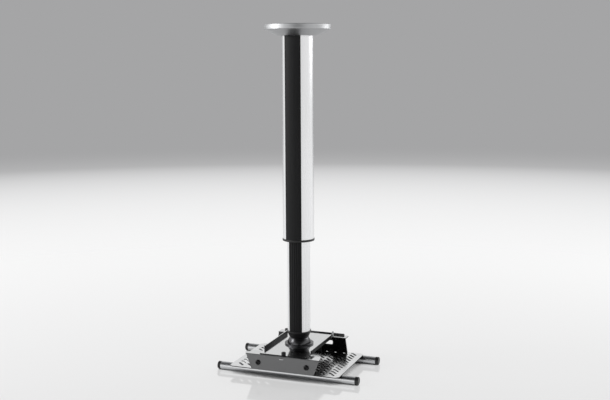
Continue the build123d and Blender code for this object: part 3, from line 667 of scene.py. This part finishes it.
# Faces that face up, and the lug's front, get the bright sheet as painted highlight.
paint_shade_and_highlight(front, bright_sheet_and_highlight, lambda face: face.normal.z > flat_top or face.center.y < lug_foot)
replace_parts(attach(front, "carrier"), "front_bracket")
m6_button = (3.0, 5.25, 3.3, 1.0)
cap_screws(
    "bracket_button_screws",
    "bracket_screws",
    [(0, -1, 0)] * 2,
    m6_button,
    "carrier",
    steps=dome_steps,
    knurl=0.0,
    key_share=0.75,
)
wear_finish(zinc_plate, "bracket_nuts")

# Rear bracket: a windowed steel web on a foot, with a top flange and a stop lip, enamelled black, with its
# top given the bright sheet as painted highlight.
# Two plated pins are pressed into its flange and hold the tray's tail between them.

# Black enamel: deep and glossy, so flat faces turn pale where they are seen at a low angle.
# Its black is partly painted shade, darker than the front bracket's grey for the shade under the tray.
black_enamel_and_shade = new_finish(
    "black_enamel_and_shade", "#070708", "#0C0C0D", (0.12, 0.18), (1.8, 1.8, 1.8), relief=0.01, IOR=1.9
)
rear = broken_edges("rear_bracket", sheet_edge, "rear_bracket_sheet", black_enamel_and_shade)
# Faces that face up get the bright sheet as painted highlight.
paint_shade_and_highlight(rear, bright_sheet_and_highlight, lambda face: face.normal.z > flat_top)
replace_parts(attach(rear, "carrier"), "rear_bracket")
wear_finish(zinc_plate, "locating_pins")

# Slotted plate: a punched steel sheet with slanted slots on both wings, to which a projector is screwed.
# Two tabs are folded up at its front edge and carry the front bracket. Like the tray, every face of it that
# doesn't face up is painted black, as painted shade for its edges, slot walls and underside.

# Satin zinc sheet: pale and softly glossy, with rolling lines across the mount.
satin_sheet = new_finish("satin_zinc_sheet", "#D0D1D2", "#DCDDDD", (0.15, 0.2), (60, 0.9, 0.9), Metallic=1.0)
plate_low, plate_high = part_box("slotted_plate")
rail_low, rail_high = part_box("rear_rail")
plate_sheet = 1.5 * MM
slot_pitch = Vector((18 * MM, 12 * MM))
slot_columns = 4
slot_rows = 12
slot_width = 4.5 * MM
wing_x = 65.3 * MM
wing_y = -5 * MM
screw_x = 20 * MM
tab_x = 48.7 * MM
tab_foot = plate_low.z + plate_sheet
tab_height = plate_high.z - tab_foot
plate_sizes = {
    "Plate Width": plate_high.x - plate_low.x,
    "Plate Depth": plate_high.y - plate_low.y,
    "Plate Middle": (0.0, (plate_low.y + plate_high.y) / 2, 0.0),
    "Plate Bottom": (0.0, 0.0, plate_low.z),
    "Plate Corner": 6 * MM,
    "Thickness": plate_sheet,
    "Slot Length": 19 * MM,
    "Slot Width": slot_width,
    "Slot Round": slot_width / 2,
    "Slot Slant": (0.0, 0.0, math.radians(-45)),
    "Slot Columns": slot_columns,
    "Slot Rows": slot_rows,
    "Wing Width": slot_pitch.x * (slot_columns - 1),
    "Wing Depth": slot_pitch.y * (slot_rows - 1),
    "Left Wing": (-wing_x, wing_y, 0.0),
    "Right Wing": (wing_x, wing_y, 0.0),
    "Screw Spacing X": 2 * screw_x,
    "Screw Spacing Y": rail_low.y + rail_high.y,
    "Screw Hole": 2.3 * MM,
    "Tab Width": 26 * MM,
    "Tab Height": tab_height,
    "Tab Middle": (0.0, tab_foot + tab_height / 2, 0.0),
    "Tab Corner": 3 * MM,
    "Tab Hole": 3.3 * MM,
    "Tab Hole Place": (0.0, 29.9 * MM, 0.0),
    "Left Tab": (-tab_x, plate_low.y + plate_sheet, 0.0),
    "Right Tab": (tab_x, plate_low.y + plate_sheet, 0.0),
}
plate_tree, given = new_tree("slotted_plate", plate_sizes)
outline = add_node(
    plate_tree,
    "GeometryNodeCurvePrimitiveQuadrilateral",
    {"Width": given["Plate Width"], "Height": given["Plate Depth"]},
)
outline = add_node(
    plate_tree,
    "GeometryNodeFilletCurve",
    {"Curve": outline, "Radius": given["Plate Corner"], "Count": 1},
    mode="POLY",
)
outline = add_node(
    plate_tree, "GeometryNodeTransform", {"Geometry": outline, "Translation": given["Plate Middle"]}
)
bar = add_node(
    plate_tree,
    "GeometryNodeCurvePrimitiveQuadrilateral",
    {"Width": given["Slot Length"], "Height": given["Slot Width"]},
)
slot = add_node(
    plate_tree,
    "GeometryNodeFilletCurve",
    {"Curve": bar, "Radius": given["Slot Round"], "Limit Radius": True, "Count": 6},
    mode="POLY",
)
wing = add_node(
    plate_tree,
    "GeometryNodeMeshGrid",
    {
        "Size X": given["Wing Width"],
        "Size Y": given["Wing Depth"],
        "Vertices X": given["Slot Columns"],
        "Vertices Y": given["Slot Rows"],
    },
)
wings = [
    add_node(plate_tree, "GeometryNodeTransform", {"Geometry": wing, "Translation": given[side]})
    for side in ("Left Wing", "Right Wing")
]
slots = add_node(
    plate_tree,
    "GeometryNodeInstanceOnPoints",
    {
        "Points": add_node(plate_tree, "GeometryNodeJoinGeometry", {0: wings}),
        "Instance": slot,
        "Rotation": given["Slot Slant"],
    },
)
hole_points = 24
hole = add_node(
    plate_tree,
    "GeometryNodeCurvePrimitiveCircle",
    {"Resolution": hole_points, "Radius": given["Screw Hole"]},
)
screw_spots = add_node(
    plate_tree,
    "GeometryNodeMeshGrid",
    {
        "Size X": given["Screw Spacing X"],
        "Size Y": given["Screw Spacing Y"],
        "Vertices X": 2,
        "Vertices Y": 2,
    },
)
holes = add_node(plate_tree, "GeometryNodeInstanceOnPoints", {"Points": screw_spots, "Instance": hole})
cuts = [add_node(plate_tree, "GeometryNodeRealizeInstances", {"Geometry": cut}) for cut in (slots, holes)]
punched = add_node(plate_tree, "GeometryNodeJoinGeometry", {0: [outline, *cuts]})
flat_plate = add_node(plate_tree, "GeometryNodeFillCurve", {0: punched}, mode="NGONS")
flat_plate = add_node(
    plate_tree, "GeometryNodeTransform", {"Geometry": flat_plate, "Translation": given["Plate Bottom"]}
)
plate_solid = closed_sheet(plate_tree, flat_plate, given["Thickness"])

# Each tab is a tongue with two round corners that stands on the plate's front edge.
tongue = add_node(
    plate_tree,
    "GeometryNodeCurvePrimitiveQuadrilateral",
    {"Width": given["Tab Width"], "Height": given["Tab Height"]},
)
position = add_node(plate_tree, "GeometryNodeInputPosition")
height = add_node(plate_tree, "ShaderNodeSeparateXYZ", {0: position}).outputs["Y"]
upper = add_node(plate_tree, "ShaderNodeMath", {0: height, 1: 0.0}, operation="GREATER_THAN")
round_corner = add_node(
    plate_tree, "ShaderNodeMath", {0: upper, 1: given["Tab Corner"]}, operation="MULTIPLY"
)
tongue = add_node(
    plate_tree,
    "GeometryNodeFilletCurve",
    {"Curve": tongue, "Radius": round_corner, "Count": 5},
    mode="POLY",
)
tongue = add_node(
    plate_tree, "GeometryNodeTransform", {"Geometry": tongue, "Translation": given["Tab Middle"]}
)
tab_hole = add_node(
    plate_tree,
    "GeometryNodeCurvePrimitiveCircle",
    {"Resolution": hole_points, "Radius": given["Tab Hole"]},
)
tab_hole = add_node(
    plate_tree, "GeometryNodeTransform", {"Geometry": tab_hole, "Translation": given["Tab Hole Place"]}
)
tab_outline = add_node(plate_tree, "GeometryNodeJoinGeometry", {0: [tongue, tab_hole]})
tab_face = add_node(plate_tree, "GeometryNodeFillCurve", {0: tab_outline}, mode="NGONS")
tab = closed_sheet(plate_tree, tab_face, given["Thickness"])
upright = (math.pi / 2, 0, 0)
tabs = [
    add_node(
        plate_tree,
        "GeometryNodeTransform",
        {"Geometry": tab, "Translation": given[side], "Rotation": upright},
    )
    for side in ("Left Tab", "Right Tab")
]
whole_plate = add_node(plate_tree, "GeometryNodeJoinGeometry", {0: [plate_solid, *tabs]})
end_tree(plate_tree, whole_plate, given)
plate = grow("slotted_plate_sheet", plate_tree, bpy.data.meshes.new("plate"), satin_sheet, plate_sizes)
# Every face that doesn't face up gets the black, as painted shade.
paint_shade_and_highlight(plate, painted_shade_black, lambda face: face.normal.z < off_top)
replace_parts(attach(plate, "carrier"), "slotted_plate")

# Rails: two drawn aluminium tubes under the plate, anodised like the columns, with die lines along X.
# Two cap screws through the plate hold each of them up.

# Anodised aluminium tube: a little greyer than the columns, with the same soft gloss.
rail_tube = new_finish(
    "anodised_aluminium_tube", "#CDCFD1", "#DFE0E1", (0.2, 0.3), (120, 0.7, 0.7), Metallic=1.0
)
wear_finish(rail_tube, "front_rail", "rear_rail")
cap_screws("rail_cap_screws", "rail_screws", [(0, 0, 1)] * 4, m4_cap, "carrier")

# End caps: black plugs of the same moulded nylon, pressed into the rails' ends.
# Their heads cover the tubes' cut edges.
wear_finish(black_nylon, "front_right_cap", "front_left_cap", "rear_right_cap", "rear_left_cap")

# Studio: a pale floor that fades into a grey surround, and two soft boxes at the sides.
# What shines sees pale walls, a grey ceiling, and dark openings above the camera and behind it.
view_azimuth = math.radians(21.419)
front_side = Vector((math.sin(view_azimuth), -math.cos(view_azimuth), 0))
surround_grey = "#A5A5A6"
floor_radius = 30.0
floor_gap = 0.2 * MM

floor_mesh = bpy.data.meshes.new("floor")
floor_shape = bmesh.new()
bmesh.ops.create_circle(floor_shape, cap_ends=True, radius=floor_radius, segments=96)
floor_shape.to_mesh(floor_mesh)
floor_shape.free()
floor = bpy.data.objects.new("floor", floor_mesh)
scene.collection.objects.link(floor)
floor.location.z = -floor_gap

# Glossy white laminate: pale near the mount and greyer further off, and it mirrors softly at low angles.
laminate = bpy.data.materials.new("white_laminate")
laminate.use_nodes = True
tree = laminate.node_tree
tree.nodes.clear()
ground = add_node(tree, "ShaderNodeTexCoord").outputs["Object"]
distance = add_node(tree, "ShaderNodeVectorMath", {0: ground}, operation="LENGTH").outputs["Value"]
fade = add_node(
    tree,
    "ShaderNodeMapRange",
    {"Value": distance, "From Min": 0.3, "From Max": 5.5},
    interpolation_type="SMOOTHERSTEP",
)
sideways = add_node(tree, "ShaderNodeVectorMath", {0: ground}, operation="NORMALIZE")
backwards = add_node(tree, "ShaderNodeVectorMath", {0: sideways, 1: -front_side}, operation="DOT_PRODUCT")
back_edge = {"From Min": math.cos(math.radians(60)), "From Max": math.cos(math.radians(32))}
at_back = add_node(
    tree,
    "ShaderNodeMapRange",
    {"Value": backwards.outputs["Value"], **back_edge},
    interpolation_type="SMOOTHSTEP",
)
greyed = add_node(tree, "ShaderNodeMath", {0: fade, 1: at_back}, operation="MULTIPLY")
# Rays that see it find the floor lit from within, and as grey as the surround far behind the mount.
# Close under the mount, where little light gets in, it keeps its full shadow.
roof_height = 60 * MM
roofed_over = 0.28
half_open = 0.44
glow_share = 0.62
openness = add_node(tree, "ShaderNodeAmbientOcclusion", {"Distance": roof_height}, samples=8).outputs["AO"]
near_share = add_node(
    tree,
    "ShaderNodeMapRange",
    {"Value": openness, "From Min": roofed_over, "From Max": half_open, "To Max": glow_share},
)
far_share = add_node(
    tree,
    "ShaderNodeMapRange",
    {"Value": distance, "From Min": 0.4, "From Max": 4.0},
    interpolation_type="SMOOTHERSTEP",
)
share = add_node(tree, "ShaderNodeMix", {0: far_share, 2: near_share, 3: 1.0})
glow_colour = add_node(
    tree, "ShaderNodeMix", {0: greyed, 6: linear("#F1F1F1"), 7: linear(surround_grey)}, data_type="RGBA"
)
path = add_node(tree, "ShaderNodeLightPath").outputs
mirrored = add_node(
    tree, "ShaderNodeMath", {0: path["Is Glossy Ray"], 1: path["Is Transmission Ray"]}, operation="ADD"
)
seen = add_node(
    tree, "ShaderNodeMath", {0: path["Is Camera Ray"], 1: mirrored}, operation="ADD", use_clamp=True
)
seen_share = add_node(tree, "ShaderNodeMath", {0: share, 1: seen}, operation="MULTIPLY")
own_colour = add_node(
    tree, "ShaderNodeMix", {0: seen_share, 6: linear("#C4C4C5"), 7: linear("#000000")}, data_type="RGBA"
)
shine = add_node(tree, "ShaderNodeMapRange", {"Value": far_share, "To Min": 0.5, "To Max": 0.0})
shader = add_node(
    tree,
    "ShaderNodeBsdfPrincipled",
    {
        "Base Color": own_colour.outputs[2],
        "Roughness": 0.08,
        "IOR": 1.5,
        "Specular IOR Level": shine,
        "Emission Color": glow_colour.outputs[2],
        "Emission Strength": seen_share,
    },
)
add_node(tree, "ShaderNodeOutputMaterial", {"Surface": shader})
floor_mesh.materials.append(laminate)

world = bpy.data.worlds.new("studio")
scene.world = world
world.use_nodes = True
tree = world.node_tree
tree.nodes.clear()
outward = add_node(tree, "ShaderNodeTexCoord").outputs["Generated"]
height = add_node(tree, "ShaderNodeSeparateXYZ", {0: outward}).outputs["Z"]
low_edge = {"From Min": math.sin(math.radians(22)), "From Max": math.sin(math.radians(38))}
overhead = add_node(
    tree, "ShaderNodeMapRange", {"Value": height, **low_edge}, interpolation_type="SMOOTHSTEP"
)
tent = add_node(
    tree, "ShaderNodeMix", {0: overhead, 6: linear("#FAFAFA"), 7: linear("#A8A8A9")}, data_type="RGBA"
)
# Each opening has the elevation of its middle, and the angles from there at which it starts and is full.
dark_openings = ((60, 58, 42), (6, 22, 9))
for elevation, outer, inner in dark_openings:
    rise = math.radians(elevation)
    middle = front_side * math.cos(rise) + Vector((0, 0, math.sin(rise)))
    towards = add_node(tree, "ShaderNodeVectorMath", {0: outward, 1: middle}, operation="DOT_PRODUCT")
    edge = {"From Min": math.cos(math.radians(outer)), "From Max": math.cos(math.radians(inner))}
    opening = add_node(
        tree,
        "ShaderNodeMapRange",
        {"Value": towards.outputs["Value"], **edge},
        interpolation_type="SMOOTHSTEP",
    )
    tent = add_node(
        tree, "ShaderNodeMix", {0: opening, 6: tent.outputs[2], 7: linear("#303031")}, data_type="RGBA"
    )
wall_edge = {"From Min": math.sin(math.radians(12)), "From Max": math.sin(math.radians(6))}
low = add_node(tree, "ShaderNodeMapRange", {"Value": height, **wall_edge}, interpolation_type="SMOOTHSTEP")
backwards = add_node(tree, "ShaderNodeVectorMath", {0: outward, 1: -front_side}, operation="DOT_PRODUCT")
at_back = add_node(
    tree,
    "ShaderNodeMapRange",
    {"Value": backwards.outputs["Value"], **back_edge},
    interpolation_type="SMOOTHSTEP",
)
wall = add_node(tree, "ShaderNodeMath", {0: low, 1: at_back}, operation="MULTIPLY")
room = add_node(
    tree, "ShaderNodeMix", {0: wall, 6: tent.outputs[2], 7: linear(surround_grey)}, data_type="RGBA"
)
diffuse = add_node(tree, "ShaderNodeLightPath").outputs["Is Diffuse Ray"]
lift = add_node(tree, "ShaderNodeMapRange", {"Value": overhead, "To Min": 2.2, "To Max": 0.6})
strength = add_node(tree, "ShaderNodeMix", {0: diffuse, 2: 1.0, 3: lift})
background = add_node(tree, "ShaderNodeBackground", {"Color": room.outputs[2], "Strength": strength})
add_node(tree, "ShaderNodeOutputWorld", {"Surface": background})


lamp_target = Vector((0, 0, 0.3))


def soft_box(name, place, width, height, power):
    """A rectangular lamp that faces the mount."""
    lamp = bpy.data.lights.new(name, "AREA")
    lamp.shape = "RECTANGLE"
    lamp.size = width
    lamp.size_y = height
    lamp.energy = power
    holder = bpy.data.objects.new(name, lamp)
    holder.location = place
    holder.rotation_euler = (lamp_target - Vector(place)).to_track_quat("-Z", "Y").to_euler()
    scene.collection.objects.link(holder)


soft_box("left_box", (-1.39, -0.79, 0.9), 0.6, 0.6, 8)
soft_box("right_box", (1.05, 1.15, 0.9), 0.8, 0.5, 4)

# Camera: the photograph's place and lens, fitted to the rails' ends, the cup's rim and the column's edges.
# It looks slightly down and past the column's axis, with a trace of roll.
focal_pixels = 948.69
image_width = 610
camera_data = bpy.data.cameras.new("camera")
camera_data.sensor_width = 36.0
camera_data.lens = focal_pixels / image_width * camera_data.sensor_width
camera = bpy.data.objects.new("camera", camera_data)
scene.collection.objects.link(camera)
scene.camera = camera
looks_aside = math.radians(0.404)
looks_down = 7.98
rolled = math.radians(-0.285)
camera_place = Matrix.Translation((0.65679, -1.67427, 0.58181))
heading = Matrix.Rotation(view_azimuth - looks_aside, 4, "Z")
dip = Matrix.Rotation(math.radians(90 - looks_down), 4, "X")
roll = Matrix.Rotation(rolled, 4, "Z")
camera.matrix_world = camera_place @ heading @ dip @ roll
